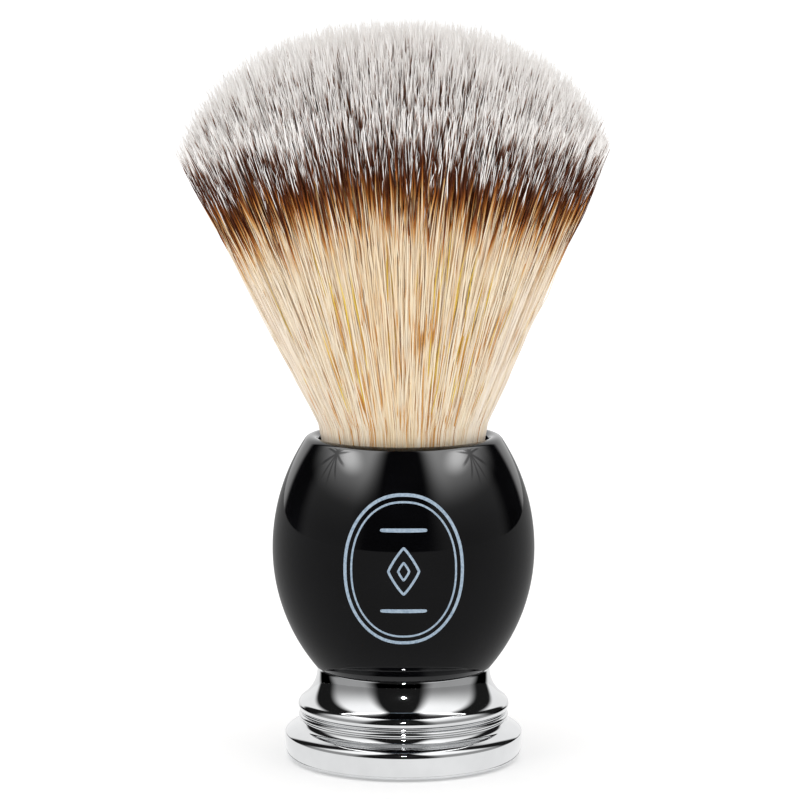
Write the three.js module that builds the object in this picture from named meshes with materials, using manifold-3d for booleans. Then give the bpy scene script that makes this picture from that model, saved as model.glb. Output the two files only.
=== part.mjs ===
// A shaving brush: a fanned knot of fibres set in a turned resin ball, on a chromed metal base.
// Millimetres, +Z up, origin on the surface it stands on, under the middle of its foot.
// Everything but the screw's thread, its recess, the knurl and the lock washer's slit is turned about Z.

import * as THREE from "three";
import { mergeVertices } from "three/addons/utils/BufferGeometryUtils.js";
import Module from "manifold-3d";

const wasm = await Module();
wasm.setup();

// ---------------------------------------------------------------- driving dimensions
const TOTAL_HEIGHT = 105; // floor to the top of the dome of tips
const SEGMENTS = 48; // facets round a large turned piece
const FINE_SEGMENTS = 32; // facets round a small one
const ARC_STEP = 0.2; // radians between the points of a turned arc
const FIT = 0.05; // gap left between pieces that are glued, pressed or clamped together

const BALL_RADIUS = 18.6; // widest, at BALL_MIDDLE
const BALL_MIDDLE = 30.2;
const BALL_LOW_ARC = 26.3; // radius of the side below the middle
const BALL_HIGH_ARC = 28.5; // and above it
const BALL_BOTTOM = 13.4;
const LIP_TOP = 46.3;
const LIP_ROUND = 1.25;
const SOCKET_RADIUS = 12;
const SOCKET_FLOOR = 30.3;
const PLUG_RADIUS = 11.5;
const PLUG_TOP = 41.5;
const PLUG_BOTTOM = 31.1;
const ADHESIVE_TOP = 38;
const SPIGOT_RADIUS = 10.5;
const SPIGOT_BOTTOM = 12;

const BASE_TOP = 13.35;
const BASE_BOTTOM = 0.3;
const BASE_WEB_TOP = 11.4;
const BASE_WEB_BOTTOM = 6.6;
const POCKET_RADIUS = 12.2;
const LIP_EDGE = 0.42; // the round on the top edge of the neck
const COVE = { r: 17.6, z: 12.93 }; // the middle of the hollow curve of the neck
const BEAD = { r: 14, z: 7.75, radius: 1 };
const PLATE_RADIUS = 16.95;

const SCREW_RADIUS = 2.5; // M5
const SCREW_PITCH = 0.8;
const SCREW_HOLE = 2.75;
const SCREW_TIP = 20;
const THREAD_START = 8;
const HEAD_RADIUS = 4.6;
const HEAD_TOP = 4.15;
const HEAD_HEIGHT = 2.65;
const RECESS_WIDTH = 1.1;
const RECESS_LENGTH = 4.6;
const RECESS_DEPTH = 1.6;

const INSERT_RADIUS = 4;
const INSERT_LENGTH = 10;
const INSERT_BORE = 2.7;
const KNURL_TEETH = 20;
const KNURL_DEPTH = 0.25;

const PAD_RADIUS = 13.7;
const PAD_RECESS_TOP = 1.3;

const HINGE_HEIGHT = 46; // the fan sways about a line across the mouth at this height
const SPLIT_RADIUS = 16; // the fibres' standing and swaying lengths part on this sphere
const SPLIT_GAP = 0.3;
const FAN_SLOPE = 0.52; // how fast the fan widens, in radius per height
const FAN_FOOT = { r: 12.1, z: LIP_TOP };
const FAN_RADIUS = 30.9; // half its width
const FAN_DEPTH_SHARE = 0.86; // its depth from front to back, as a share of its width
const DOME_BASE = 85;

// ---------------------------------------------------------------- shapes
const point = (r, z) => new THREE.Vector2(r, z);

// Points of an arc about (r, z) in the profile plane, from one angle to another, in radians from +r.
function arc(r, z, radius, from, to, step = ARC_STEP) {
  const count = Math.max(2, Math.ceil(Math.abs(to - from) / step));
  return Array.from({ length: count + 1 }, (_, i) => {
    const angle = from + ((to - from) * i) / count;
    return point(r + radius * Math.cos(angle), z + radius * Math.sin(angle));
  });
}

// A half-round ridge on a wall of radius r, between two heights, from the lower one up.
function ridge(r, low, high) {
  return arc(r, (low + high) / 2, (high - low) / 2, -Math.PI / 2, Math.PI / 2, 0.6);
}

// A profile that runs counter-clockwise in (radius, height), turned about Z.
function turned(profile, segments = SEGMENTS) {
  return new THREE.LatheGeometry(profile, segments).rotateX(Math.PI / 2);
}

// A plain ring or disc with small chamfers on its outer edges.
function ring(inner, outer, low, high, segments = SEGMENTS, chamfer = 0.15) {
  const outside = [
    point(outer - chamfer, low),
    point(outer, low + chamfer),
    point(outer, high - chamfer),
    point(outer - chamfer, high),
  ];
  if (inner === 0) {
    return turned([point(0, low), ...outside, point(0, high)], segments);
  }
  const around = [point(inner, low), ...outside, point(inner, high), point(inner, low)];
  return turned(around, segments);
}

// Only the places are kept, and shared corners are merged, which is what a closed solid needs.
function solid(geometry) {
  const bare = geometry.clone();
  for (const name of Object.keys(bare.attributes)) {
    if (name !== "position") bare.deleteAttribute(name);
  }
  const merged = mergeVertices(bare, 1e-4);
  return new wasm.Manifold(
    new wasm.Mesh({
      numProp: 3,
      vertProperties: new Float32Array(merged.attributes.position.array),
      triVerts: new Uint32Array(merged.index.array),
    }),
  );
}

function geometryOf(body) {
  const mesh = body.getMesh();
  return new THREE.BufferGeometry()
    .setAttribute("position", new THREE.BufferAttribute(mesh.vertProperties, 3))
    .setIndex(new THREE.BufferAttribute(mesh.triVerts, 1));
}

// The round of the lip touches the ball's upper arc and the top plane. Its centre, and the angles
// at which it leaves the arc and meets the socket's wall.
function lipRound() {
  const reach = BALL_HIGH_ARC - LIP_ROUND;
  const rise = LIP_TOP - LIP_ROUND - BALL_MIDDLE;
  const outer = Math.asin(rise / reach);
  const r = BALL_RADIUS - BALL_HIGH_ARC + reach * Math.cos(outer);
  const inner = Math.acos((SOCKET_RADIUS - r) / LIP_ROUND);
  return { r, z: LIP_TOP - LIP_ROUND, outer, inner };
}

const LIP = lipRound();

// ---------------------------------------------------------------- the knot
// A ball about the hinge. The two lengths of the fibres part on it, so that one can turn on the other.
function splitBall(radius) {
  const side = arc(0, HINGE_HEIGHT, radius, -Math.PI / 2, Math.PI / 2);
  side[0].x = 0;
  side[side.length - 1].x = 0;
  return solid(turned(side));
}

// The room that the fibres fill: a straight-sided fan from the plug up, under a dome of tips. It is
// round at the mouth and narrows from front to back as it rises.
function knotSpace() {
  const edge = FAN_FOOT.z + (FAN_RADIUS - FAN_FOOT.r) / FAN_SLOPE;
  const dome = arc(0, 0, 1, 0, Math.PI / 2, 0.1).map((unit) =>
    point(FAN_RADIUS * unit.x, DOME_BASE + (TOTAL_HEIGHT - DOME_BASE) * unit.y),
  );
  dome[dome.length - 1].x = 0;
  const space = turned([
    point(0, PLUG_TOP + FIT),
    point(PLUG_RADIUS, PLUG_TOP + FIT),
    point(SOCKET_RADIUS - 3 * FIT, LIP.z + LIP_ROUND * Math.sin(LIP.inner)),
    point(FAN_FOOT.r, FAN_FOOT.z),
    point(FAN_RADIUS, edge),
    ...dome,
  ]);
  const place = space.attributes.position;
  for (let i = 0; i < place.count; i++) {
    const rise = (place.getZ(i) - LIP_TOP) / (DOME_BASE - LIP_TOP);
    const share = THREE.MathUtils.lerp(1, FAN_DEPTH_SHARE, THREE.MathUtils.clamp(rise, 0, 1));
    place.setY(i, place.getY(i) * share);
  }
  return solid(space);
}

// The length of the fibres that sways, and the length that stands.
const bristleFan = () => geometryOf(knotSpace().subtract(splitBall(SPLIT_RADIUS + SPLIT_GAP)));
const bristleRoots = () => geometryOf(knotSpace().intersect(splitBall(SPLIT_RADIUS)));

// The cast resin puck that the fibres' ends are set in.
const knotPlug = () => ring(0, PLUG_RADIUS, PLUG_BOTTOM, PLUG_TOP, SEGMENTS, 0.8);

// The cup of epoxy that holds the plug in its socket.
function socketAdhesive() {
  const outer = SOCKET_RADIUS - FIT;
  const inner = PLUG_RADIUS + FIT;
  const low = SOCKET_FLOOR + FIT;
  const floor = PLUG_BOTTOM - FIT;
  return turned([
    point(0, low),
    point(outer, low),
    point(outer, ADHESIVE_TOP),
    point(inner, ADHESIVE_TOP),
    point(inner, floor),
    point(0, floor),
  ]);
}

// ---------------------------------------------------------------- the handle
// The turned ball: a blind socket above for the knot, a spigot and a blind bore below.
function handleBall() {
  const lowCentre = BALL_RADIUS - BALL_LOW_ARC;
  const highCentre = BALL_RADIUS - BALL_HIGH_ARC;
  const lowAngle = Math.asin((BALL_BOTTOM - BALL_MIDDLE) / BALL_LOW_ARC);
  const boreRadius = INSERT_RADIUS + FIT;
  const boreEnd = SPIGOT_BOTTOM + INSERT_LENGTH + 0.5;
  return turned([
    point(0, boreEnd),
    point(boreRadius, boreEnd),
    point(boreRadius, SPIGOT_BOTTOM),
    point(SPIGOT_RADIUS, SPIGOT_BOTTOM),
    point(SPIGOT_RADIUS, BALL_BOTTOM),
    ...arc(lowCentre, BALL_MIDDLE, BALL_LOW_ARC, lowAngle, 0, 0.07),
    ...arc(highCentre, BALL_MIDDLE, BALL_HIGH_ARC, 0, LIP.outer, 0.07).slice(1),
    ...arc(LIP.r, LIP.z, LIP_ROUND, LIP.outer, LIP.inner, 0.3).slice(1),
    point(SOCKET_RADIUS, SOCKET_FLOOR),
    point(0, SOCKET_FLOOR),
  ]);
}

// ---------------------------------------------------------------- the base
// The outside of the base, from the bottom edge up to the top of the neck. The cove touches the bead.
function baseOutside() {
  const [across, up] = [COVE.r - BEAD.r, COVE.z - BEAD.z];
  const touch = Math.atan2(up, across);
  const coveRadius = Math.hypot(across, up) - BEAD.radius;
  const neck = COVE.r - coveRadius;
  return [
    ...arc(16.1, 0.9, 0.6, -Math.PI / 2, 0, 0.4),
    point(16.88, 1.8),
    point(PLATE_RADIUS, 2.7),
    point(PLATE_RADIUS, 3.6),
    point(16.75, 4),
    point(16.3, 4.4),
    point(15.7, 4.7),
    point(15.1, 4.95),
    point(14.7, 5.3),
    point(14.5, 5.75),
    ...ridge(14.5, 5.8, 6.65),
    ...ridge(14.55, 6.7, 7.2),
    ...arc(BEAD.r, BEAD.z, BEAD.radius, -0.52, touch),
    ...arc(COVE.r, COVE.z, coveRadius, touch + Math.PI, Math.PI).slice(1),
    ...arc(neck - LIP_EDGE, BASE_TOP - LIP_EDGE, LIP_EDGE, 0, Math.PI / 2, 0.4).slice(1),
  ];
}

// The chromed casting: a neck, a bead and a foot plate, hollow below for the screw's head.
function chromeBase() {
  const recess = SPIGOT_RADIUS + 2 * FIT;
  const ledge = PAD_RADIUS + 2 * FIT;
  const inside = [
    point(recess, BASE_TOP),
    point(recess, BASE_WEB_TOP),
    point(SCREW_HOLE, BASE_WEB_TOP),
    point(SCREW_HOLE, BASE_WEB_BOTTOM),
    point(POCKET_RADIUS, BASE_WEB_BOTTOM),
    point(POCKET_RADIUS, PAD_RECESS_TOP),
    point(ledge, PAD_RECESS_TOP),
    point(ledge, BASE_BOTTOM),
  ];
  const outside = baseOutside();
  return turned([...outside, ...inside, outside[0].clone()]);
}

// The soft disc under the base, which it stands on.
const footPad = () => ring(0, PAD_RADIUS, 0, PAD_RECESS_TOP - FIT, SEGMENTS, 0.3);

// The washer that keeps water out of the joint between the resin and the metal.
const sealWasher = () => ring(6, SPIGOT_RADIUS - 0.2, BASE_WEB_TOP + FIT, SPIGOT_BOTTOM - FIT);

// ---------------------------------------------------------------- the fastening
// A cylinder whose radius follows a helix: crest, flank, root, flank, once for each pitch.
function threadedShank(low, high) {
  const perPitch = 4;
  const depths = [0, 0.2, 0.42, 0.2];
  const sides = 12;
  const rows = Math.round(((high - low) / SCREW_PITCH) * perPitch);
  const positions = [0, 0, low];
  const radiusAt = (row, side) => {
    const phase = row + (side * perPitch) / sides;
    const before = Math.floor(phase) % perPitch;
    const share = phase - Math.floor(phase);
    const depth = depths[before] * (1 - share) + depths[(before + 1) % perPitch] * share;
    return SCREW_RADIUS - depth;
  };
  for (let row = 0; row <= rows; row++) {
    for (let side = 0; side < sides; side++) {
      const angle = (-2 * Math.PI * side) / sides;
      const radius = radiusAt(row, side);
      const height = low + ((high - low) * row) / rows;
      positions.push(radius * Math.cos(angle), radius * Math.sin(angle), height);
    }
  }
  const last = positions.length / 3;
  positions.push(0, 0, high);
  const corner = (row, side) => 1 + row * sides + (side % sides);
  const faces = [];
  for (let side = 0; side < sides; side++) {
    faces.push(0, corner(0, side), corner(0, side + 1));
    faces.push(last, corner(rows, side + 1), corner(rows, side));
    for (let row = 0; row < rows; row++) {
      const [a, b] = [corner(row, side), corner(row, side + 1)];
      const [c, d] = [corner(row + 1, side + 1), corner(row + 1, side)];
      faces.push(a, d, b, b, d, c);
    }
  }
  return new THREE.BufferGeometry()
    .setAttribute("position", new THREE.Float32BufferAttribute(positions, 3))
    .setIndex(faces);
}

// A pan-head screw, its head down, with a cross recess.
function baseScrew() {
  const low = HEAD_TOP - HEAD_HEIGHT;
  const shankRadius = SCREW_RADIUS - 0.2;
  const head = turned(
    [
      point(0, low),
      point(HEAD_RADIUS - 1.4, low),
      point(HEAD_RADIUS - 0.5, low + 0.5),
      point(HEAD_RADIUS, low + 1.4),
      point(HEAD_RADIUS, HEAD_TOP),
      point(shankRadius, HEAD_TOP),
      point(shankRadius, THREAD_START + 0.5),
      point(0, THREAD_START + 0.5),
    ],
    FINE_SEGMENTS,
  );
  let body = solid(head).add(solid(threadedShank(THREAD_START, SCREW_TIP)));
  for (const turn of [0, Math.PI / 2]) {
    const slot = new THREE.BoxGeometry(RECESS_LENGTH, RECESS_WIDTH, 2 * RECESS_DEPTH);
    slot.rotateZ(turn).translate(0, 0, low);
    body = body.subtract(solid(slot));
  }
  return geometryOf(body);
}

const WASHER_TOP = BASE_WEB_BOTTOM - FIT;
const WASHER_BOTTOM = WASHER_TOP - 1;

const flatWasher = () => ring(SCREW_HOLE, 5.5, WASHER_BOTTOM, WASHER_TOP, FINE_SEGMENTS);

// A lock washer: a ring cut through by one slanting slit.
function springWasher() {
  const whole = ring(2.6, 4.4, HEAD_TOP + FIT, WASHER_BOTTOM - FIT, FINE_SEGMENTS, 0.1);
  const slit = new THREE.BoxGeometry(4, 0.5, 4);
  slit.rotateX(0.5).translate(3.5, 0, (HEAD_TOP + WASHER_BOTTOM) / 2);
  return geometryOf(solid(whole).subtract(solid(slit)));
}

// The brass insert: a tube with a knurled outside and a plain groove round its middle.
function threadedInsert() {
  const outline = new THREE.Shape();
  for (let i = 0; i < 2 * KNURL_TEETH; i++) {
    const radius = INSERT_RADIUS - (i % 2) * KNURL_DEPTH;
    const angle = (Math.PI * i) / KNURL_TEETH;
    outline[i ? "lineTo" : "moveTo"](radius * Math.cos(angle), radius * Math.sin(angle));
  }
  outline.holes.push(new THREE.Path().absarc(0, 0, INSERT_BORE, 0, 2 * Math.PI, true));
  const tube = new THREE.ExtrudeGeometry(outline, {
    depth: INSERT_LENGTH - FIT,
    bevelEnabled: false,
    curveSegments: FINE_SEGMENTS / 2,
  }).translate(0, 0, SPIGOT_BOTTOM + FIT);
  const middle = SPIGOT_BOTTOM + INSERT_LENGTH / 2;
  const groove = ring(INSERT_RADIUS - 0.5, INSERT_RADIUS + 1, middle - 0.8, middle + 0.8);
  return geometryOf(solid(tube).subtract(solid(groove)));
}

// ---------------------------------------------------------------- finishes and assembly
const finish = (color, roughness, metalness) =>
  new THREE.MeshStandardMaterial({ color, roughness, metalness });

const FIBRE = finish("#e6dccb", 0.6, 0);
const RESIN = finish("#08090b", 0.12, 0);
const CHROME = finish("#dcdfe3", 0.05, 1);
const EPOXY = finish("#c9b98a", 0.35, 0);
const BRASS = finish("#c8a552", 0.3, 1);
const STEEL = finish("#b9bdc2", 0.35, 1);
const RUBBER = finish("#15161a", 0.8, 0);

const brush = new THREE.Group();

function add(name, geometry, material) {
  const mesh = new THREE.Mesh(geometry, material);
  mesh.name = name;
  brush.add(mesh);
}

add("bristle_fan", bristleFan(), FIBRE);
add("bristle_roots", bristleRoots(), FIBRE);
add("knot_plug", knotPlug(), EPOXY);
add("socket_adhesive", socketAdhesive(), EPOXY);
add("handle_ball", handleBall(), RESIN);
add("threaded_insert", threadedInsert(), BRASS);
add("seal_washer", sealWasher(), RUBBER);
add("chrome_base", chromeBase(), CHROME);
add("base_screw", baseScrew(), STEEL);
add("spring_washer", springWasher(), STEEL);
add("flat_washer", flatWasher(), STEEL);
add("foot_pad", footPad(), RUBBER);

export default brush;
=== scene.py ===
import math

import bpy
import numpy as np
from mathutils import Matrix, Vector


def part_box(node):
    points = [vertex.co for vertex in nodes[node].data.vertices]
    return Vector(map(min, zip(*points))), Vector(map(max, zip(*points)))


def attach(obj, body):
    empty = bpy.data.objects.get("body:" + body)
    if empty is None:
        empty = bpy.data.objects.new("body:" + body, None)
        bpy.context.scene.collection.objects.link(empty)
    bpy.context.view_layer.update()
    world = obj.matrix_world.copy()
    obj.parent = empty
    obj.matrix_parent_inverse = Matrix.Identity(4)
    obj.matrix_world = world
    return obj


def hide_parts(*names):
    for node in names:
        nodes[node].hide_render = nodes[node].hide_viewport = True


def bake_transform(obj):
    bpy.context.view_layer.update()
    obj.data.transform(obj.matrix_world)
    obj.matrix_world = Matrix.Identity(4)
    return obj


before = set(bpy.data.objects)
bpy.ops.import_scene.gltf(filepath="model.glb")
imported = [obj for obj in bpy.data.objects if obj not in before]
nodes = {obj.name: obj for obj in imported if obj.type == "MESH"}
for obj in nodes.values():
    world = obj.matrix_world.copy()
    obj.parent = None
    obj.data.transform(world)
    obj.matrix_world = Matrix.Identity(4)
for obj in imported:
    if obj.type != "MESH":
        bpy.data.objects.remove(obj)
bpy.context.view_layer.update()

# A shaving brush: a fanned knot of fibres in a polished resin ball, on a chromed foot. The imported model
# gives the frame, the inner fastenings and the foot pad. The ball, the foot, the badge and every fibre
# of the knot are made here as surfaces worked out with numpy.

MM = 0.001

# ---------------------------------------------------------------- driving sizes, in millimetres
BALL_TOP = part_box("handle_ball")[1].z / MM
SPIGOT_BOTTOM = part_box("handle_ball")[0].z / MM
BASE_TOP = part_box("chrome_base")[1].z / MM
BASE_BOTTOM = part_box("chrome_base")[0].z / MM
ROOT_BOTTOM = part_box("bristle_roots")[0].z / MM
BALL_RADIUS = 18.6
BALL_MIDDLE = 30.2
BALL_LOW_ARC = 26.3
BALL_HIGH_ARC = 28.5
BALL_BOTTOM = 13.4
LIP_ROUND = 1.25
SOCKET_RADIUS = 12
SOCKET_FLOOR = 30.3

# ---------------------------------------------------------------- making meshes


def mesh_piece(name, points, faces, uv=None, sharp=None, smooth=True):
    """One piece from corner points in millimetres and an array of triangles. uv is one pair for each
    face corner. Edges that turn by more than sharp degrees are creased."""
    mesh = bpy.data.meshes.new(name)
    mesh.vertices.add(len(points))
    mesh.vertices.foreach_set("co", (points * MM).astype(np.float32).ravel())
    mesh.loops.add(faces.size)
    mesh.loops.foreach_set("vertex_index", faces.astype(np.int32).ravel())
    mesh.polygons.add(len(faces))
    mesh.polygons.foreach_set("loop_start", np.arange(0, faces.size, 3, dtype=np.int32))
    if uv is not None:
        layer = mesh.uv_layers.new(name=FIBRE_MAP)
        layer.data.foreach_set("uv", uv.astype(np.float32).ravel())
    mesh.update(calc_edges=True)
    if smooth:
        mesh.shade_smooth()
    else:
        mesh.shade_flat()
    if sharp is not None:
        mesh.set_sharp_from_angle(angle=math.radians(sharp))
    made = bpy.data.objects.new(name, mesh)
    bpy.context.scene.collection.objects.link(made)
    return made


def turned(name, profile, sides=224, sharp=28):
    """A surface of revolution: each (radius, height) of the profile is carried once round Z. Points on
    the axis become one pole each. The profile runs counter-clockwise, so that faces point outwards."""
    angle = np.linspace(0, 2 * np.pi, sides, endpoint=False)
    radius, height = np.asarray(profile, float).T
    grid = np.stack(
        [
            np.outer(radius, np.cos(angle)),
            np.outer(radius, np.sin(angle)),
            np.repeat(height[:, None], sides, axis=1),
        ],
        axis=-1,
    )
    number = np.arange(radius.size * sides).reshape(radius.size, sides)
    number[radius < 1e-6] = number[radius < 1e-6][:, :1]
    if np.allclose(profile[0], profile[-1]):
        number[-1] = number[0]
    low, high = number[:-1], number[1:]
    next_low, next_high = np.roll(low, -1, axis=1), np.roll(high, -1, axis=1)
    faces = np.concatenate(
        [
            np.stack([low, next_low, next_high], axis=-1).reshape(-1, 3),
            np.stack([low, next_high, high], axis=-1).reshape(-1, 3),
        ]
    )
    whole = (faces[:, 0] != faces[:, 1]) & (faces[:, 1] != faces[:, 2]) & (faces[:, 2] != faces[:, 0])
    kept, faces = np.unique(faces[whole], return_inverse=True)
    return mesh_piece(name, grid.reshape(-1, 3)[kept], faces.reshape(-1, 3), sharp=sharp)


def arc(r, z, radius, start, end, step=0.035):
    """Points round (r, z) in the profile plane, from one angle to the other in radians."""
    angle = np.linspace(start, end, max(3, math.ceil(abs(end - start) / step) + 1))
    return np.stack([r + radius * np.cos(angle), z + radius * np.sin(angle)], axis=1)


def eased(points, rounds=3):
    """Cuts each corner of an open outline a quarter of the way along both of its sides, again and
    again, which leaves a smooth curve with the same two ends."""
    points = np.asarray(points, float)
    for _ in range(rounds):
        near = 0.75 * points[:-1] + 0.25 * points[1:]
        far = 0.25 * points[:-1] + 0.75 * points[1:]
        between = np.stack([near, far], axis=1).reshape(-1, 2)
        points = np.concatenate([points[:1], between[1:-1], points[-1:]])
    return points


# ---------------------------------------------------------------- materials


def srgb(colour):
    """An sRGB hex colour as the linear numbers that a shader takes."""
    part = np.array([int(colour[i : i + 2], 16) / 255 for i in (1, 3, 5)])
    part = np.where(part <= 0.04045, part / 12.92, ((part + 0.055) / 1.055) ** 2.4)
    return (*part.tolist(), 1.0)


def add(tree, kind, inputs=None, **settings):
    """Adds one node. Settings are its properties, and inputs are plain values or sockets to link."""
    made = tree.nodes.new(kind)
    for key, value in settings.items():
        setattr(made, key, value)
    for key, value in (inputs or {}).items():
        if isinstance(value, bpy.types.NodeSocket):
            tree.links.new(value, made.inputs[key])
        else:
            made.inputs[key].default_value = value
    return made


def blank(name):
    """A material with its tree, its shader and the Object coordinates of the piece."""
    made = bpy.data.materials.new(name)
    made.use_nodes = True
    tree = made.node_tree
    shader = tree.nodes["Principled BSDF"]
    place = add(tree, "ShaderNodeTexCoord").outputs["Object"]
    return made, tree, shader, place


def fade(tree, value, stops):
    """A colour ramp through (position, colour) stops."""
    ramp = add(tree, "ShaderNodeValToRGB", {"Fac": value})
    points = ramp.color_ramp.elements
    while len(points) < len(stops):
        points.new(0.5)
    for point, (position, colour) in zip(points, sorted(stops)):
        point.position = position
        point.color = srgb(colour)
    return ramp.outputs["Color"]


def ranged(tree, value, low, high, start=0.0, end=1.0):
    """Carries a value from the range start..end to the range low..high."""
    limits = {"Value": value, "From Min": start, "From Max": end, "To Min": low, "To Max": high}
    return add(tree, "ShaderNodeMapRange", limits).outputs["Result"]


def noise(tree, place, size_mm, detail=3.0, roughness=0.5):
    """Cloudy noise whose patches are about size_mm across."""
    inputs = {"Vector": place, "Scale": 1 / (size_mm * MM), "Detail": detail, "Roughness": roughness}
    return add(tree, "ShaderNodeTexNoise", inputs).outputs["Fac"]


def bumped(tree, shader, height, depth_mm, strength=1.0):
    """Gives the shader a relief of the stated depth."""
    inputs = {"Height": height, "Distance": depth_mm * MM, "Strength": strength}
    bump = add(tree, "ShaderNodeBump", inputs)
    tree.links.new(bump.outputs["Normal"], shader.inputs["Normal"])


def put(piece, material):
    piece.data.materials.clear()
    piece.data.materials.append(material)


def buffed_black_resin():
    """Cast polyester resin, turned and buffed on a wheel: a deep, wet black that mirrors the lamps, with
    only a breath of haze where the buffing wheel left it."""
    made, tree, shader, place = blank("buffed_black_resin")
    haze = noise(tree, place, 9, 4)
    tree.links.new(fade(tree, haze, [(0.35, "#040405"), (0.7, "#08080a")]), shader.inputs["Base Color"])
    tree.links.new(ranged(tree, haze, 0.025, 0.06, 0.3, 0.75), shader.inputs["Roughness"])
    shader.inputs["IOR"].default_value = 1.4
    bumped(tree, shader, noise(tree, place, 5, 1), 0.004, 0.25)
    return made


def mirror_chrome():
    """Bright chromium plating over a polished casting: a slightly cool mirror. The plating bath and the
    buffing leave a very low ripple in it, which bends the edges of what it reflects."""
    made, tree, shader, place = blank("mirror_chrome")
    cloud = noise(tree, place, 6, 3)
    tree.links.new(fade(tree, cloud, [(0.3, "#d8d9da"), (0.7, "#e2e3e4")]), shader.inputs["Base Color"])
    tree.links.new(ranged(tree, cloud, 0.02, 0.055, 0.3, 0.7), shader.inputs["Roughness"])
    shader.inputs["Metallic"].default_value = 1.0
    bumped(tree, shader, noise(tree, place, 2.2, 1), 0.006, 0.35)
    return made


def pad_printed_ink():
    """White-blue epoxy ink, pad printed: satin, a little thin in places where the black shows through."""
    made, tree, shader, place = blank("pad_printed_ink")
    thin = noise(tree, place, 0.35, 3, 0.6)
    tree.links.new(fade(tree, thin, [(0.3, "#8095aa"), (0.6, "#a5b7c7")]), shader.inputs["Base Color"])
    shader.inputs["Roughness"].default_value = 0.42
    bumped(tree, shader, thin, 0.01, 0.4)
    return made


def cast_epoxy(name, pale, deep):
    """Two-part epoxy, cast: amber and glassy, with a few cloudy swirls and fine bubbles."""
    made, tree, shader, place = blank(name)
    swirl = noise(tree, place, 4, 5, 0.6)
    tree.links.new(fade(tree, swirl, [(0.3, deep), (0.7, pale)]), shader.inputs["Base Color"])
    bubble = add(tree, "ShaderNodeTexVoronoi", {"Vector": place, "Scale": 1 / (0.9 * MM)}).outputs[0]
    tree.links.new(ranged(tree, swirl, 0.12, 0.3, 0.3, 0.7), shader.inputs["Roughness"])
    shader.inputs["IOR"].default_value = 1.55
    bumped(tree, shader, ranged(tree, bubble, 0, 1, 0.0, 0.25), 0.05, 0.5)
    return made


def turned_metal(name, dark, light, ring_mm, rough):
    """Metal cut on a lathe: fine rings round the axis from the feed of the tool. The real rings, about
    0.05 mm apart, are too fine to show, so they are drawn a few times wider."""
    made, tree, shader, place = blank(name)
    apart = {"Vector": place, "Scale": 1 / (ring_mm * MM * 6), "Distortion": 0.4, "Detail": 2.0}
    ring = add(tree, "ShaderNodeTexWave", apart, wave_type="RINGS", rings_direction="Z").outputs["Fac"]
    cloud = noise(tree, place, 2.5, 4)
    tree.links.new(fade(tree, cloud, [(0.3, dark), (0.7, light)]), shader.inputs["Base Color"])
    tree.links.new(ranged(tree, cloud, rough * 0.7, rough * 1.3, 0.3, 0.7), shader.inputs["Roughness"])
    shader.inputs["Metallic"].default_value = 1.0
    bumped(tree, shader, ring, 0.01, 0.5)
    return made


def moulded_rubber(name, pale, deep, grain_mm, depth_mm):
    """Black rubber, moulded or cut from sheet: matt, dusty at the high spots of its grain."""
    made, tree, shader, place = blank(name)
    grain = noise(tree, place, grain_mm, 4, 0.65)
    tree.links.new(fade(tree, grain, [(0.35, deep), (0.7, pale)]), shader.inputs["Base Color"])
    tree.links.new(ranged(tree, grain, 0.65, 0.9, 0.3, 0.7), shader.inputs["Roughness"])
    bumped(tree, shader, grain, depth_mm, 0.8)
    return made


# ---------------------------------------------------------------- the handle and the foot


def ball_profile():
    """The ball's section: the blind bore and the spigot below, a low arc and a high arc that share their
    widest point, a round lip, and the blind socket above."""
    bore_radius, bore_end = 4.05, SPIGOT_BOTTOM + 10.5
    spigot = 10.5
    low = math.asin((BALL_BOTTOM - BALL_MIDDLE) / BALL_LOW_ARC)
    reach = BALL_HIGH_ARC - LIP_ROUND
    lip_z = BALL_TOP - LIP_ROUND
    high = math.asin((lip_z - BALL_MIDDLE) / reach)
    lip_r = BALL_RADIUS - BALL_HIGH_ARC + reach * math.cos(high)
    inner = math.acos((SOCKET_RADIUS - lip_r) / LIP_ROUND)
    return np.concatenate(
        [
            [[0, bore_end], [bore_radius, bore_end], [bore_radius, SPIGOT_BOTTOM]],
            [[spigot, SPIGOT_BOTTOM], [spigot, BALL_BOTTOM]],
            arc(BALL_RADIUS - BALL_LOW_ARC, BALL_MIDDLE, BALL_LOW_ARC, low, 0, 0.012),
            arc(BALL_RADIUS - BALL_HIGH_ARC, BALL_MIDDLE, BALL_HIGH_ARC, 0, high, 0.012)[1:],
            arc(lip_r, lip_z, LIP_ROUND, high, inner, 0.08)[1:],
            [[SOCKET_RADIUS, SOCKET_FLOOR], [0, SOCKET_FLOOR]],
        ]
    )


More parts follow.
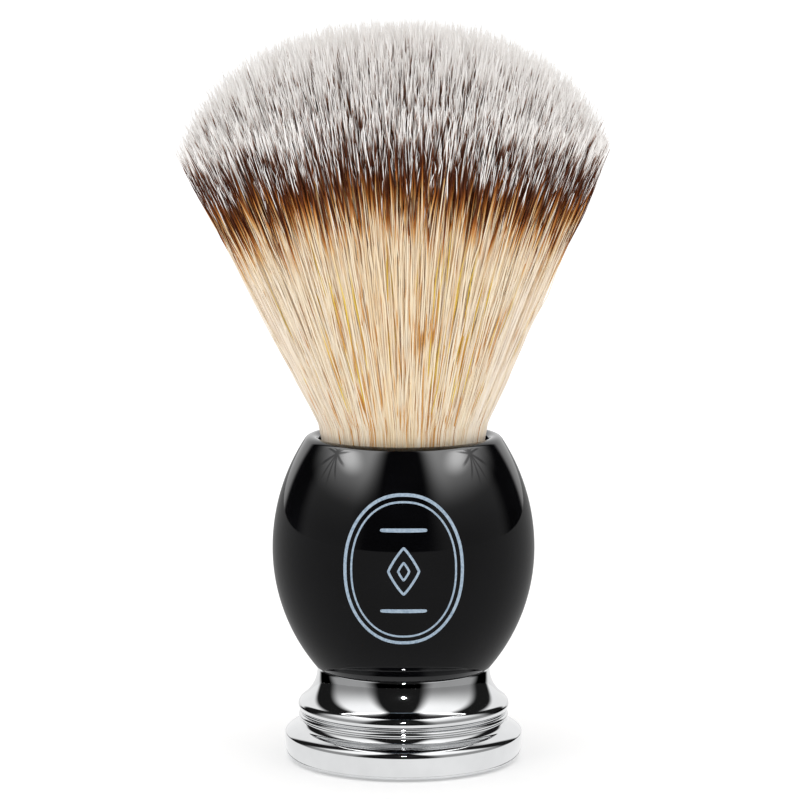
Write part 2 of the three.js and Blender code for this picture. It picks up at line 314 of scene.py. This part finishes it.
def base_profile():
    """The foot's section: a rolled bottom edge, a short wall, an ogee that sweeps in over the plate, two
    fine rings, a bead and a cove that touch, and a rounded top edge; then the hollow inside."""
    wall = 16.95
    cove_r, cove_z = 17.6, 12.93
    bead_r, bead_z, bead = 14.0, 7.75, 1.0
    touch = math.atan2(cove_z - bead_z, cove_r - bead_r)
    cove = math.hypot(cove_z - bead_z, cove_r - bead_r) - bead
    edge = 0.42
    ogee = [[wall, 2.6], [wall, 3.75], [16.75, 4.05], [16.3, 4.4], [15.6, 4.75], [14.9, 5.0]]
    ogee += [[14.5, 5.5], [14.5, 5.78]]
    half = math.pi / 2
    return np.concatenate(
        [
            arc(16.1, BASE_BOTTOM + 0.6, 0.6, -half, 0, 0.15),
            [[16.88, 1.8]],
            eased(ogee),
            arc(14.5, 6.22, 0.42, -half, half, 0.2)[1:],
            arc(14.55, 6.93, 0.24, -half, half, 0.25),
            arc(bead_r, bead_z, bead, -0.52, touch, 0.08),
            arc(cove_r, cove_z, cove, touch + math.pi, math.pi, 0.03)[1:],
            arc(cove_r - cove - edge, BASE_TOP - edge, edge, 0, half, 0.12)[1:],
            [[10.6, BASE_TOP], [10.6, 11.4], [2.75, 11.4], [2.75, 6.6], [12.2, 6.6]],
            [[12.2, 1.3], [13.8, 1.3], [13.8, BASE_BOTTOM], [16.1, BASE_BOTTOM]],
        ]
    )


def side_radius(height):
    """The ball's outer radius at a height: the two arcs of its side."""
    rise = np.asarray(height, float) - BALL_MIDDLE
    bend = np.where(rise < 0, BALL_LOW_ARC, BALL_HIGH_ARC)
    return BALL_RADIUS - bend + np.sqrt(bend**2 - rise**2)


# ---------------------------------------------------------------- the badge

BADGE_MIDDLE = 30.0
BADGE_WIDTH = 16.6
BADGE_HEIGHT = 20.6
INK_BOTTOM, INK_TOP = 0.005, 0.035  # how far the two faces of the ink stand off the ball


def printed_loop(across, up, width):
    """A line of ink along a closed loop, given as two arrays in millimetres on the unrolled front of the
    ball. The loop is offset by half the width to each side, rolled round the ball at its own radius, and
    closed into a flat tube from INK_BOTTOM to INK_TOP above the ball."""
    path = np.stack([across, up], axis=1)
    along = np.roll(path, -1, axis=0) - np.roll(path, 1, axis=0)
    along /= np.linalg.norm(along, axis=1, keepdims=True)
    out = np.stack([along[:, 1], -along[:, 0]], axis=1)
    rows = []
    for side, lift in ((-0.5, INK_BOTTOM), (0.5, INK_BOTTOM), (0.5, INK_TOP), (-0.5, INK_TOP)):
        flat = path + out * width * side
        height = BADGE_MIDDLE + flat[:, 1]
        radius = side_radius(height)
        angle = flat[:, 0] / BALL_RADIUS - np.pi / 2
        radius = radius + lift
        rows.append(np.stack([radius * np.cos(angle), radius * np.sin(angle), height], axis=1))
    points = np.stack(rows, axis=1)
    count = len(path)
    number = np.arange(count * 4).reshape(count, 4)
    ahead, turned_on = np.roll(number, -1, axis=0), np.roll(number, -1, axis=1)
    both = np.roll(ahead, -1, axis=1)
    faces = np.concatenate(
        [
            np.stack([number, ahead, both], axis=-1).reshape(-1, 3),
            np.stack([number, both, turned_on], axis=-1).reshape(-1, 3),
        ]
    )
    return points.reshape(-1, 3), faces


def superoval(width, height, power, count=160):
    """A closed oval, |x/a|^power + |y/b|^power = 1, counter-clockwise."""
    angle = np.linspace(0, 2 * np.pi, count, endpoint=False)
    cosine, sine = np.cos(angle), np.sin(angle)
    across = width / 2 * np.sign(cosine) * np.abs(cosine) ** (2 / power)
    up = height / 2 * np.sign(sine) * np.abs(sine) ** (2 / power)
    return across, up


def badge():
    """A plain badge that says nothing: two ovals, one inside the other, round a lozenge and two rules."""
    loops = [
        printed_loop(*superoval(BADGE_WIDTH, BADGE_HEIGHT, 2.3), 0.46),
        printed_loop(*superoval(BADGE_WIDTH - 1.9, BADGE_HEIGHT - 1.9, 2.3), 0.28),
        printed_loop(*superoval(4.2, 6.4, 1.15, 96), 0.34),
        printed_loop(*superoval(1.5, 2.4, 1.15, 64), 0.3),
    ]
    for height in (-5.6, 5.6):
        across, up = superoval(6.4, 0.27, 4, 64)
        loops.append(printed_loop(across, up + height, 0.26))
    offset, points, faces = 0, [], []
    for corner, face in loops:
        points.append(corner)
        faces.append(face + offset)
        offset += len(corner)
    return mesh_piece("badge_print", np.concatenate(points), np.concatenate(faces), sharp=40)


# ---------------------------------------------------------------- the fibres

TURN = 6.28  # a full turn in radians, near enough for a random angle
# the name the export looks for, so that it keeps these coordinates as they are
FIBRE_MAP = "OFBake"  # the name of the fibres' own map, which their materials read
SHADES = 128  # columns of the fibres' map, each one fibre's own colouring
YELLOW = 0.96  # where the yellow column is
LONGEST = 62.0  # millimetres that the map's height stands for
MOUTH = BALL_TOP
KNOT_RADIUS = 11.1
LEFT_SPREAD, RIGHT_SPREAD, FRONT_SPREAD = 0.497, 0.462, 0.335  # radius gained for each unit of height
LEAN = -0.022  # the whole fan leans this much to the left
CENTRE_LENGTH = 58.6
SIDE_LOSS, FRONT_LOSS = 14.0, 10.0  # how much shorter the outermost fibres are, at the sides and in front
EDGE_POWER = 2.6
SHORTFALL = 8.0  # how far below the dome the shortest fibres end
SHADE_DASH_PITCH = 11.0  # the pitch of the tan dashes of painted shade along a fibre, in millimetres
WHITER = 1.8  # how much longer the white tips are in the middle of the knot than at its edge
TUFTS = 3200
STATIONS = np.array([0.0, 0.14, 0.28, 0.42, 0.56, 0.69, 0.81, 0.91, 0.975])


def tint_and_gap_shade_column(across):
    """The column of the map that suits a place across the knot. It sets both the fibre's tint and how many
    tan dashes of painted gap shade it carries: plain at its sides, streaky with painted shade in its
    middle, as 1 - |across| ** 1.6."""
    return 0.08 + 0.5 * (1 - np.abs(across) ** 1.6)


def leaning(disc):
    """How far a fibre at each place in the unit disc leans sideways for each unit that it rises."""
    side = np.where(disc[:, 0] < 0, LEFT_SPREAD, RIGHT_SPREAD)
    spread = np.stack([side, np.full(len(disc), FRONT_SPREAD)], axis=1)
    return np.concatenate([spread * disc + [LEAN, 0], np.ones((len(disc), 1))], axis=1)


def dome_length(share, turn):
    """The length of a fibre: CENTRE_LENGTH less a loss that grows as share ** EDGE_POWER."""
    loss = SIDE_LOSS + (FRONT_LOSS - SIDE_LOSS) * np.sin(turn) ** 2
    return CENTRE_LENGTH - loss * share**EDGE_POWER


def in_the_socket(root):
    """Carries places in the mouth down to the cut ends of the fibres, which are gathered a little."""
    return root * [0.97, 0.97, 1] - [0, 0, MOUTH - ROOT_BOTTOM - 0.3]


def tufts():
    """Where the fibres gather: places in the unit disc, with a height and a tint for each tuft."""
    draw = np.random.default_rng(7)
    share = np.sqrt(draw.random(TUFTS))
    turn = draw.random(TUFTS) * 2 * np.pi
    place = np.stack([share * np.cos(turn), share * np.sin(turn)], axis=1)
    return place, draw.normal(0, 0.25, TUFTS), draw.random(TUFTS)


def held_in(push, outward, share):
    """Takes the outward part out of a push, the more the nearer the fibre is to the side of the knot, so
    that no fibre strays out of the fan."""
    out = np.maximum((push * outward).sum(axis=-1, keepdims=True), 0)
    return push - outward * out * share**4


def fibres(name, count, seed, thickness, inside=0.0, shorter=0.0):
    """Tapering three-sided fibres. A root at radius KNOT_RADIUS * share in the mouth leans outwards in
    proportion to share, so the sides of the fan are straight lines. Its length falls from the middle to
    the edge as share ** EDGE_POWER, less a random shortfall with a long tail. On the way up it bows,
    waves, and leans towards the nearest tuft, most of all at the tip, where it ends in a point."""
    draw = np.random.default_rng(seed)
    share = np.sqrt(draw.uniform(inside**2, 1, count))
    turn = draw.random(count) * 2 * np.pi
    disc = np.stack([share * np.cos(turn), share * np.sin(turn)], axis=1)
    lean = leaning(disc)
    outward = disc / np.maximum(share, 1e-3)[:, None]
    lean[:, :2] += held_in(draw.normal(0, 0.02, (count, 2)), outward, share[:, None])
    way = lean / np.linalg.norm(lean, axis=1, keepdims=True)

    # where it ends
    tuft_place, tuft_height, tuft_tint = tufts()
    blocks = np.array_split(disc, 16)
    nearest = np.concatenate(
        [np.argmin(((block[:, None] - tuft_place[None]) ** 2).sum(-1), axis=1) for block in blocks]
    )
    length = dome_length(share, turn) - shorter + tuft_height[nearest]
    reaching, tail = (0.4, 1.4) if inside < 0.5 else (0.06, 0.85)
    short = np.where(draw.random(count) < reaching, 0, SHORTFALL * draw.random(count) ** tail)
    length += draw.normal(0, 0.22, count) - short * (0.5 + 0.5 * share**3)
    pull = (tuft_place[nearest] - disc) * [22, 17] + draw.normal(0, 0.12, (count, 2))

    root = np.concatenate([KNOT_RADIUS * disc, np.full((count, 1), MOUTH)], axis=1)
    start = in_the_socket(root)
    tip = root + way * length[:, None]
    tip[:, :2] += pull

    # its path from the socket to the tip
    rise = STATIONS[None, :, None]
    below = np.clip(rise / STATIONS[1], 0, 1)
    above = np.clip((rise - STATIONS[1]) / (1 - STATIONS[1]), 0, 1)
    near = (root + way * 2.0)[:, None]
    lower = start[:, None] * (1 - below) + near * below
    upper = near * (1 - above) + tip[:, None] * above
    centre = np.where(rise <= STATIONS[1], lower, upper)
    bow = held_in(draw.normal(0, 0.55, (count, 1, 2)), outward[:, None], share[:, None, None])
    bow = bow * 4 * above * (1 - above)
    waves = sum(
        draw.normal(0, size, (count, 1, 2))
        * np.sin(turns * TURN * above + draw.random((count, 1, 1)) * TURN)
        for turns, size in ((1.3, 0.26), (2.6, 0.15))
    )
    centre[:, :, :2] += bow + waves * np.sqrt(above)

    # its walls
    from_tip = np.linalg.norm(tip - start, axis=1)[:, None] * (1 - STATIONS[None])
    half_thick = draw.normal(thickness, thickness * 0.14, (count, 1)) / 2
    girth = half_thick * np.clip(0.62 + 0.38 * from_tip / 7, 0, 1)
    corner = np.arange(3) * 2 * np.pi / 3 + draw.random((count, 1)) * TURN
    round_about = np.stack([np.cos(corner), np.sin(corner), np.zeros_like(corner)], axis=-1)
    ring = centre[:, :, None] + round_about[:, None] * girth[:, :, None, None]

    each = len(STATIONS) * 3 + 1
    points = np.concatenate([ring.reshape(count, -1, 3), tip[:, None]], axis=1).reshape(-1, 3)
    faces = (fibre_faces(len(STATIONS))[None] + (np.arange(count) * each)[:, None, None]).reshape(-1, 3)

    # its colouring
    # The column sets the fibre's tint and how many tan dashes of painted gap shade it carries.
    tint = tint_and_gap_shade_column(disc[:, 0]) + 0.08 * tuft_tint[nearest] + draw.normal(0, 0.13, count)
    tint = np.clip(tint, 0, 0.9)
    right_lock = np.exp(-(((disc[:, 0] - 0.42) / 0.15) ** 2))
    left_lock = np.exp(-(((disc[:, 0] + 0.4) / 0.07) ** 2))
    often = 0.03 + 0.2 * right_lock + 0.14 * left_lock
    tint = np.where(draw.random(count) < often, YELLOW, tint)
    column = (np.floor(tint * SHADES)[:, None] + 0.5) / SHADES
    across = np.array([-0.2, 0, 0.2] * len(STATIONS) + [0.0])[None] / SHADES
    dipped = np.maximum(from_tip - WHITER * (1 - share[:, None] ** 4), 0)
    height = np.concatenate([np.repeat(dipped, 3, axis=1), np.zeros((count, 1))], axis=1) / LONGEST
    uv = np.stack([column + across, 0.005 + 0.985 * np.clip(height, 0, 1)], axis=-1).reshape(-1, 2)
    return mesh_piece(name, points, faces, uv=uv[faces.ravel()], smooth=False)


def packed_middle():
    """The mass of fibres behind the outer ones, too many to draw one by one: a closed surface just inside
    the side of the fan, with a ridge for each fibre that touches it. It is domed over, deep millimetres
    below the tips."""
    draw = np.random.default_rng(31)
    sides, inside, deep = 960, 0.94, 8.5
    turn = np.linspace(0, 2 * np.pi, sides, endpoint=False)
    ridge = 1 + draw.normal(0, 0.008, sides)
    to_and_fro = np.abs((turn * 40 / np.pi) % 2 - 1) * 2 - 1
    up_side = [(inside, part) for part in np.linspace(1, 0, 22)]
    over = [(inside * math.cos(angle), 0) for angle in np.linspace(0, math.pi / 2, 14)[1:-1]]
    rows, heights = [], []
    for share, part in up_side + over:
        disc = np.stack([share * ridge * np.cos(turn), share * ridge * np.sin(turn)], axis=1)
        lean = leaning(disc)
        way = lean / np.linalg.norm(lean, axis=1, keepdims=True)
        length = dome_length(share, turn) - 1.0
        from_tip = deep + (length - deep) * part
        root = np.concatenate([KNOT_RADIUS * disc, np.full((sides, 1), MOUTH)], axis=1)
        rows.append(root + way * (length - from_tip)[:, None])
        column = tint_and_gap_shade_column(disc[:, 0]) + 0.08 * to_and_fro
        heights.append(np.stack([column, from_tip / LONGEST], axis=1))
    low = in_the_socket(rows[0])
    rows, heights = [low] + rows, [heights[0]] + heights
    number = np.arange(len(rows) * sides).reshape(len(rows), sides)
    here, above = number[:-1], number[1:]
    beside, beside_above = np.roll(here, -1, axis=1), np.roll(above, -1, axis=1)
    pole = np.full(sides, number.size)
    faces = np.concatenate(
        [
            np.stack([here, beside, beside_above], axis=-1).reshape(-1, 3),
            np.stack([here, beside_above, above], axis=-1).reshape(-1, 3),
            np.stack([np.roll(number[0], -1), number[0], pole], axis=1),
            np.stack([number[-1], np.roll(number[-1], -1), pole + 1], axis=1),
        ]
    )
    crown = rows[-1].mean(axis=0) + [0, 0, 0.2]
    points = np.concatenate(rows + [[low.mean(axis=0)], [crown]])
    uv = np.concatenate(heights + [[[0.3, 0.98]], [[0.5, deep / LONGEST]]])
    return mesh_piece("packed_fibres", points, faces, uv=uv[faces.ravel()])


def fibre_faces(stations):
    """The triangles of one fibre: its cut root, the walls between its rings, and its point."""
    faces = [[2, 1, 0]]
    for ring in range(stations - 1):
        for side in range(3):
            low, low_next = ring * 3 + side, ring * 3 + (side + 1) % 3
            faces += [[low, low_next, low_next + 3], [low, low_next + 3, low + 3]]
    top, tip = (stations - 1) * 3, stations * 3
    faces += [[top + side, top + (side + 1) % 3, tip] for side in range(3)]
    return np.array(faces)


def fibre_colour(name, stops, tints, tinted_from_mm, shift_mm):
    """Heat-tapered polyester fibre, satin and waxy. Its colour runs along its length from the tip. Each
    column of its map shifts the dye line up or down, as dip dyeing does. The columns run from plain fibres
    to streaky ones, which carry short tan dashes below the band. These dashes are painted shade that stands
    for the deep gaps between the fibres."""
    made, tree, shader, _ = blank(name)
    where = add(tree, "ShaderNodeUVMap", uv_map=FIBRE_MAP).outputs["UV"]
    split = add(tree, "ShaderNodeSeparateXYZ", {"Vector": where})

    def maths(kind, a, b=0.0):
        return add(tree, "ShaderNodeMath", {0: a, 1: b}, operation=kind).outputs[0]

    column = maths("FLOOR", maths("MULTIPLY", split.outputs["X"], float(SHADES)))
    chance = add(tree, "ShaderNodeTexWhiteNoise", {"W": column}, noise_dimensions="1D").outputs["Value"]
    shift = ranged(tree, chance, -shift_mm / LONGEST, shift_mm / LONGEST)
    along = maths("ADD", split.outputs["Y"], shift)
    dyed = fade(tree, along, [(mm / LONGEST, colour) for mm, colour in stops])
    tint = fade(tree, split.outputs["X"], tints)
    share = ranged(tree, along, 0, 1, tinted_from_mm / LONGEST, (tinted_from_mm + 8) / LONGEST)
    mixed = add(tree, "ShaderNodeMix", {0: share, 6: dyed}, data_type="RGBA", blend_type="MULTIPLY")
    tree.links.new(tint, mixed.inputs[7])
    place = add(tree, "ShaderNodeCombineXYZ", {"X": maths("MULTIPLY", column, 5.31)})
    tree.links.new(maths("MULTIPLY", split.outputs["Y"], LONGEST / SHADE_DASH_PITCH), place.inputs["Y"])
    # Painted shade: short tan dashes below the band that stand for the deep gaps between the fibres, drawn
    # from noise along each column.
    patchy = add(tree, "ShaderNodeTexNoise", {"Vector": place.outputs[0], "Scale": 1.0, "Detail": 1.0})
    streaky = maths("ADD", patchy.outputs["Fac"], maths("MULTIPLY", split.outputs["X"], 0.24))
    painted_gap_shade = maths("MULTIPLY", ranged(tree, streaky, 0, 1, 0.74, 0.8), share)
    # cf9854 is the tan of the painted gap shade.
    colours = {0: painted_gap_shade, 6: mixed.outputs[2], 7: srgb("#cf9854")}
    with_painted_gap_shade = add(tree, "ShaderNodeMix", colours, data_type="RGBA")
    tree.links.new(with_painted_gap_shade.outputs[2], shader.inputs["Base Color"])
    shader.inputs["Roughness"].default_value = 0.45
    shader.inputs["Specular IOR Level"].default_value = 0.08
    return made


# The colour of a fibre by its distance from the tip in millimetres.
DIPPED = [
    (0, "#faf8f6"),
    (2.3, "#f8f5f2"),
    (3.1, "#8d6a58"),
    (3.9, "#55301f"),
    (5.8, "#4e2616"),
    (7.6, "#6a371b"),
    (9.0, "#985520"),
    (10.2, "#c28344"),
    (11.5, "#dfb67c"),
    (13.2, "#efdfc3"),
    (19, "#f2eadb"),
    (62, "#efe8da"),
]
UNDYED = [(0, "#faf8f6"), (8, "#f8f4ed"), (20, "#f4ebd9"), (62, "#f0e8d8")]
BODY_TINTS = [
    (0.0, "#fffbfb"),
    (0.3, "#fffaf4"),
    (0.6, "#fff7e8"),
    (0.8, "#feeed2"),
    (0.92, "#feeed2"),
    (0.93, "#edd262"),
]
PALE_TINTS = [(0.0, "#ffffff"), (0.8, "#fdf6ee"), (1.0, "#f6e4c4")]

dip_dyed = fibre_colour("dip_dyed_fibre", DIPPED, BODY_TINTS, 11.5, 1.9)
undyed = fibre_colour("undyed_fibre", UNDYED, PALE_TINTS, 10, 1.0)

# Name, count, seed, material, the smallest share of the radius, and how much shorter its fibres are.
KNOT = [
    ("dyed_fibres_first", 3800, 11, dip_dyed, 0.0, 0.0),
    ("dyed_fibres_second", 3800, 12, dip_dyed, 0.0, 0.0),
    ("dyed_fibres_third", 3800, 14, dip_dyed, 0.0, 0.0),
    ("outer_fibres_first", 3800, 15, dip_dyed, 0.92, 0.0),
    ("outer_fibres_second", 3800, 16, dip_dyed, 0.92, 0.0),
    ("undyed_fibres", 1300, 13, undyed, 0.0, 0.6),
]
knot = [(packed_middle(), dip_dyed)]
for fibre_name, how_many, seed, material, inside, shorter in KNOT:
    knot.append((fibres(fibre_name, how_many, seed, 0.18, inside, shorter), material))
for piece, material in knot:
    put(piece, material)
    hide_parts("bristle_fan", "bristle_roots")
    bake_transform(piece)

ball = turned("polished_ball", ball_profile())
put(ball, buffed_black_resin())
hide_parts("handle_ball")
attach(ball, "handle")

foot = turned("plated_foot", base_profile())
put(foot, mirror_chrome())
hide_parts("chrome_base")
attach(foot, "handle")

print_piece = badge()
put(print_piece, pad_printed_ink())
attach(print_piece, "handle")

zinc = turned_metal("zinc_plated_steel", "#a3a8ae", "#c4c8cc", 0.12, 0.3)
put(nodes["knot_plug"], cast_epoxy("cast_epoxy_puck", "#d9c48c", "#a98a4c"))
put(nodes["socket_adhesive"], cast_epoxy("cured_epoxy_glue", "#cfc09a", "#9a8148"))
put(nodes["threaded_insert"], turned_metal("machined_brass", "#b48a3a", "#d9b25e", 0.1, 0.28))
put(nodes["seal_washer"], moulded_rubber("nitrile_rubber", "#232326", "#0f0f11", 0.5, 0.02))
for steel_piece in ("base_screw", "spring_washer", "flat_washer"):
    put(nodes[steel_piece], zinc)
put(nodes["foot_pad"], moulded_rubber("cellular_rubber", "#2a2a2d", "#121214", 0.7, 0.12))

# ---------------------------------------------------------------- floor, light and camera


EVEN_LIGHT = 1.0
FLOOR_SHADE = 0.93
SKEW = 12  # degrees by which the left side of the studio is nearer the front
FLOOR_LIFT = 0.2  # the card is lit from below as well, so that it stays white under the soft light


def ring_plate(name, inner, outer, height):
    """A flat plate between two radii at a height, in mm."""
    angle = np.radians(np.linspace(0, 360, 97) - 90)
    edge = np.stack([np.cos(angle), np.sin(angle)], axis=1)
    points = np.concatenate([edge * inner, edge * outer])
    points = np.concatenate([points, np.full((len(points), 1), height)], axis=1)
    near = np.arange(96)
    faces = np.concatenate(
        [np.stack([near, near + 97, near + 98], axis=1), np.stack([near, near + 98, near + 1], axis=1)]
    )
    return mesh_piece(name, points, faces)


def floor():
    """A plain pale floor, much wider than the view."""
    made = ring_plate("pale_floor", 0.01, 100000, 0)
    material, _, shader, _ = blank("pale_card")
    shader.inputs["Base Color"].default_value = (FLOOR_SHADE, FLOOR_SHADE, FLOOR_SHADE, 1)
    shader.inputs["Emission Color"].default_value = (1, 1, 1, 1)
    shader.inputs["Emission Strength"].default_value = FLOOR_LIFT
    shader.inputs["Roughness"].default_value = 0.9
    shader.inputs["Specular IOR Level"].default_value = 0.0
    put(made, material)


def sky_maths(tree, way):
    """Two small helpers for a tree, and the direction of a vector as angles: its swing from the front to
    either side, its swing with the left side taken SKEW nearer the front, and its rise."""

    def maths(kind, a, b=0.0):
        return add(tree, "ShaderNodeMath", {0: a, 1: b}, operation=kind).outputs[0]

    def step(value, start, end, low=0.0, high=1.0):
        """Goes smoothly from low to high between two angles in degrees."""
        angles = {"Value": value, "From Min": math.radians(start), "From Max": math.radians(end)}
        limits = {**angles, "To Min": low, "To Max": high}
        made = add(tree, "ShaderNodeMapRange", limits, interpolation_type="SMOOTHSTEP")
        return made.outputs["Result"]

    unit = add(tree, "ShaderNodeVectorMath", {0: way}, operation="NORMALIZE").outputs[0]
    across, back, up = add(tree, "ShaderNodeSeparateXYZ", {"Vector": unit}).outputs
    swing = maths("ABSOLUTE", maths("ARCTAN2", across, maths("MULTIPLY", back, -1.0)))
    on_the_left = maths("LESS_THAN", across, 0.0)
    skewed = maths("SUBTRACT", swing, maths("MULTIPLY", on_the_left, math.radians(SKEW)))
    return maths, step, swing, skewed, maths("ARCSINE", up)


def glow_piece(piece, name, strength, see_through, lit):
    """Makes a studio piece that only the mirrors of one other piece see: it gives light of its own, and
    either stops what is behind it or lets it through."""
    material = bpy.data.materials.new(name)
    material.use_nodes = True
    tree = material.node_tree
    tree.nodes.clear()
    place = add(tree, "ShaderNodeTexCoord").outputs["Object"]
    emission = add(tree, "ShaderNodeEmission", {"Strength": strength(tree, place)})
    behind = srgb("#ffffff" if see_through else "#000000")
    clear = add(tree, "ShaderNodeBsdfTransparent", {"Color": behind})
    both = add(tree, "ShaderNodeAddShader", {0: emission.outputs[0], 1: clear.outputs[0]})
    add(tree, "ShaderNodeOutputMaterial", {"Surface": both.outputs[0]})
    put(piece, material)
    piece.visible_camera = False
    piece.visible_diffuse = False
    piece.visible_shadow = False
    piece.light_linking.receiver_collection = lit_only(lit)


def lit_only(piece):
    """A collection that holds one piece, for the lamps that light nothing else."""
    made = bpy.data.collections.new(f"only_{piece.name}")
    made.objects.link(piece)
    return made


def aprons():
    """The floor as the mirrors see it. The black ball sees an even grey; the foot sees a bright floor
    close by, and further off the same bright sides and dark middle as the studio above has."""

    def for_the_ball(tree, place):
        return 0.33

    def for_the_foot(tree, place):
        maths, step, swing, skewed, _ = sky_maths(tree, place)
        away = add(tree, "ShaderNodeVectorMath", {0: place}, operation="LENGTH").outputs["Value"]
        near = ranged(tree, away, 1, 0, 0.040, 0.046)
        sides = maths("MULTIPLY", step(skewed, 20, 40, 0, 0.4), step(swing, 112, 94))
        far = maths("ADD", sides, step(swing, 132, 143, 0, 0.9))
        return maths("MAXIMUM", near, maths("MULTIPLY", far, maths("SUBTRACT", 1.0, near)))

    under = ring_plate("apron_under_the_ball", 17.6, 50000, 0.1)
    glow_piece(under, "dim_cloth", for_the_ball, False, ball)
    around = ring_plate("apron_round_the_foot", 17.6, 50000, 0.2)
    glow_piece(around, "lit_cloth", for_the_foot, True, foot)


def umbrella(name, side):
    """A white studio umbrella, up on one side: brightest at its lamp, fading downwards, with dark
    ribs that spread from its hub. Only the ball mirrors it."""
    swing = np.radians(np.linspace(12, 140, 41))
    rise = np.radians(np.linspace(8, 82, 25))
    swing, rise = np.meshgrid(swing, rise)
    points = 3000 * np.stack(
        [side * np.sin(swing) * np.cos(rise), -np.cos(swing) * np.cos(rise), np.sin(rise)], axis=-1
    )
    number = np.arange(points.shape[0] * points.shape[1]).reshape(points.shape[:2])
    here, beside, above, both = number[:-1, :-1], number[:-1, 1:], number[1:, :-1], number[1:, 1:]
    faces = np.concatenate(
        [
            np.stack([here, both, beside], axis=-1).reshape(-1, 3),
            np.stack([here, above, both], axis=-1).reshape(-1, 3),
        ]
    )
    lamp_at, hub_at, ribs = (75, 43), (94, 38), 11

    def strength(tree, place):
        maths, step, swing, _, rise = sky_maths(tree, place)
        fabric = maths("MULTIPLY", step(rise, 20, 50, 0, 5.5), step(rise, 74, 60))
        fabric = maths("MULTIPLY", fabric, maths("MULTIPLY", step(swing, 22, 50), step(swing, 134, 112)))

        def away(point, squeeze=1.0):
            """How far the direction is from a point of the umbrella, across and up, in radians, and the
            distance, sqrt(across^2 + up^2). The distance across counts squeeze times."""
            across = maths("MULTIPLY", maths("SUBTRACT", swing, math.radians(point[0])), 0.79)
            across = maths("MULTIPLY", across, squeeze)
            up = maths("SUBTRACT", rise, math.radians(point[1]))
            squares = maths("ADD", maths("MULTIPLY", across, across), maths("MULTIPLY", up, up))
            return across, up, maths("SQRT", squares)

        lamp_spot = step(away(lamp_at, 0.4)[2], 9, 1, 0, 9)
        across, up, reach = away(hub_at)
        turn = maths("FRACT", maths("MULTIPLY", maths("ARCTAN2", up, across), ribs / (2 * math.pi)))
        beside_rib = maths("MULTIPLY", maths("ABSOLUTE", maths("SUBTRACT", turn, 0.5)), 2 * math.pi / ribs)
        rib = step(maths("MULTIPLY", beside_rib, reach), 0.35, 1.1, 0.75, 0)
        rib = maths("SUBTRACT", 1.0, maths("MULTIPLY", rib, step(reach, 17, 9)))
        return maths("MULTIPLY", maths("ADD", fabric, lamp_spot), rib)

    glow_piece(mesh_piece(name, points.reshape(-1, 3), faces), name + "_cloth", strength, True, ball)


def studio_world():
    """Even white light for everything, and, for mirrors only, the rest of the studio: a big soft source
    on each side, brighter the higher it is, a white backdrop behind, and darkness in front and above."""
    world = bpy.data.worlds.new("studio")
    bpy.context.scene.world = world
    world.use_nodes = True
    tree = world.node_tree
    tree.nodes.clear()
    maths, step, swing, skewed, rise = sky_maths(tree, add(tree, "ShaderNodeTexCoord").outputs["Generated"])
    sideways = maths("MULTIPLY", step(skewed, 20, 40), step(swing, 112, 94))
    upright = maths("MULTIPLY", step(rise, -14, -6), step(rise, 84, 76))
    source = maths("MULTIPLY", maths("MULTIPLY", sideways, upright), step(rise, 4, 58, 0.3, 1.3))
    backdrop = maths("MULTIPLY", step(swing, 134, 143), step(rise, 62, 40))
    seen = maths("ADD", maths("ADD", source, backdrop), 0.012)
    path = add(tree, "ShaderNodeLightPath")
    even = add(tree, "ShaderNodeBackground", {"Strength": EVEN_LIGHT, "Color": srgb("#ffffff")})
    mirrored = add(tree, "ShaderNodeBackground", {"Strength": seen, "Color": srgb("#ffffff")})
    far_floor = {"Strength": EVEN_LIGHT * FLOOR_SHADE + FLOOR_LIFT, "Color": srgb("#ffffff")}
    behind = add(tree, "ShaderNodeBackground", far_floor)
    either = add(tree, "ShaderNodeMixShader", {0: path.outputs["Is Glossy Ray"], 1: even.outputs[0]})
    tree.links.new(mirrored.outputs[0], either.inputs[2])
    shown = add(tree, "ShaderNodeMixShader", {0: path.outputs["Is Camera Ray"], 1: either.outputs[0]})
    tree.links.new(behind.outputs[0], shown.inputs[2])
    add(tree, "ShaderNodeOutputWorld", {"Surface": shown.outputs[0]})


def lamp(name, place, size, watts, shape="SQUARE"):
    """An area lamp that faces the middle of the brush. The camera never sees it."""
    data = bpy.data.lights.new(name, "AREA")
    data.shape = shape
    data.size = size
    data.energy = watts
    made = bpy.data.objects.new(name, data)
    bpy.context.scene.collection.objects.link(made)
    made.location = place
    aim = Vector((0, 0, 0.05)) - made.location
    made.rotation_euler = aim.to_track_quat("-Z", "Y").to_euler()
    made.visible_camera = False
    return made


def front_flash(piece):
    """A small bright flash over the camera, which leaves one sparkle on each ring of the plated foot."""
    made = lamp("front_flash", (0.0, -0.9, 0.47), 0.07, 2.0, "DISK")
    made.light_linking.receiver_collection = lit_only(piece)


floor()
aprons()
umbrella("umbrella_left", -1)
umbrella("umbrella_right", 1)
studio_world()
front_flash(foot)
for side, watts in ((-1, 0.6), (1, 0.5)):
    softbox = lamp(f"softbox_{'left' if side < 0 else 'right'}", (side * 0.55, -0.5, 0.5), 0.35, watts)
    softbox.visible_glossy = False

camera_data = bpy.data.cameras.new("camera")
camera_data.lens = 144.5
camera_data.sensor_width = 36
camera_data.clip_end = 200
camera = bpy.data.objects.new("camera", camera_data)
bpy.context.scene.collection.objects.link(camera)
camera.location = (-0.0005, -0.45, 0.108)
camera_aim = Vector((-0.0005, 0, 0.05125)) - camera.location
camera.rotation_euler = camera_aim.to_track_quat("-Z", "Y").to_euler()
bpy.context.scene.camera = camera
bpy.context.scene.view_settings.view_transform = "Standard"
# Light has to bounce many times to come back out of a mass of pale fibres.
bpy.context.scene.cycles.diffuse_bounces = 10
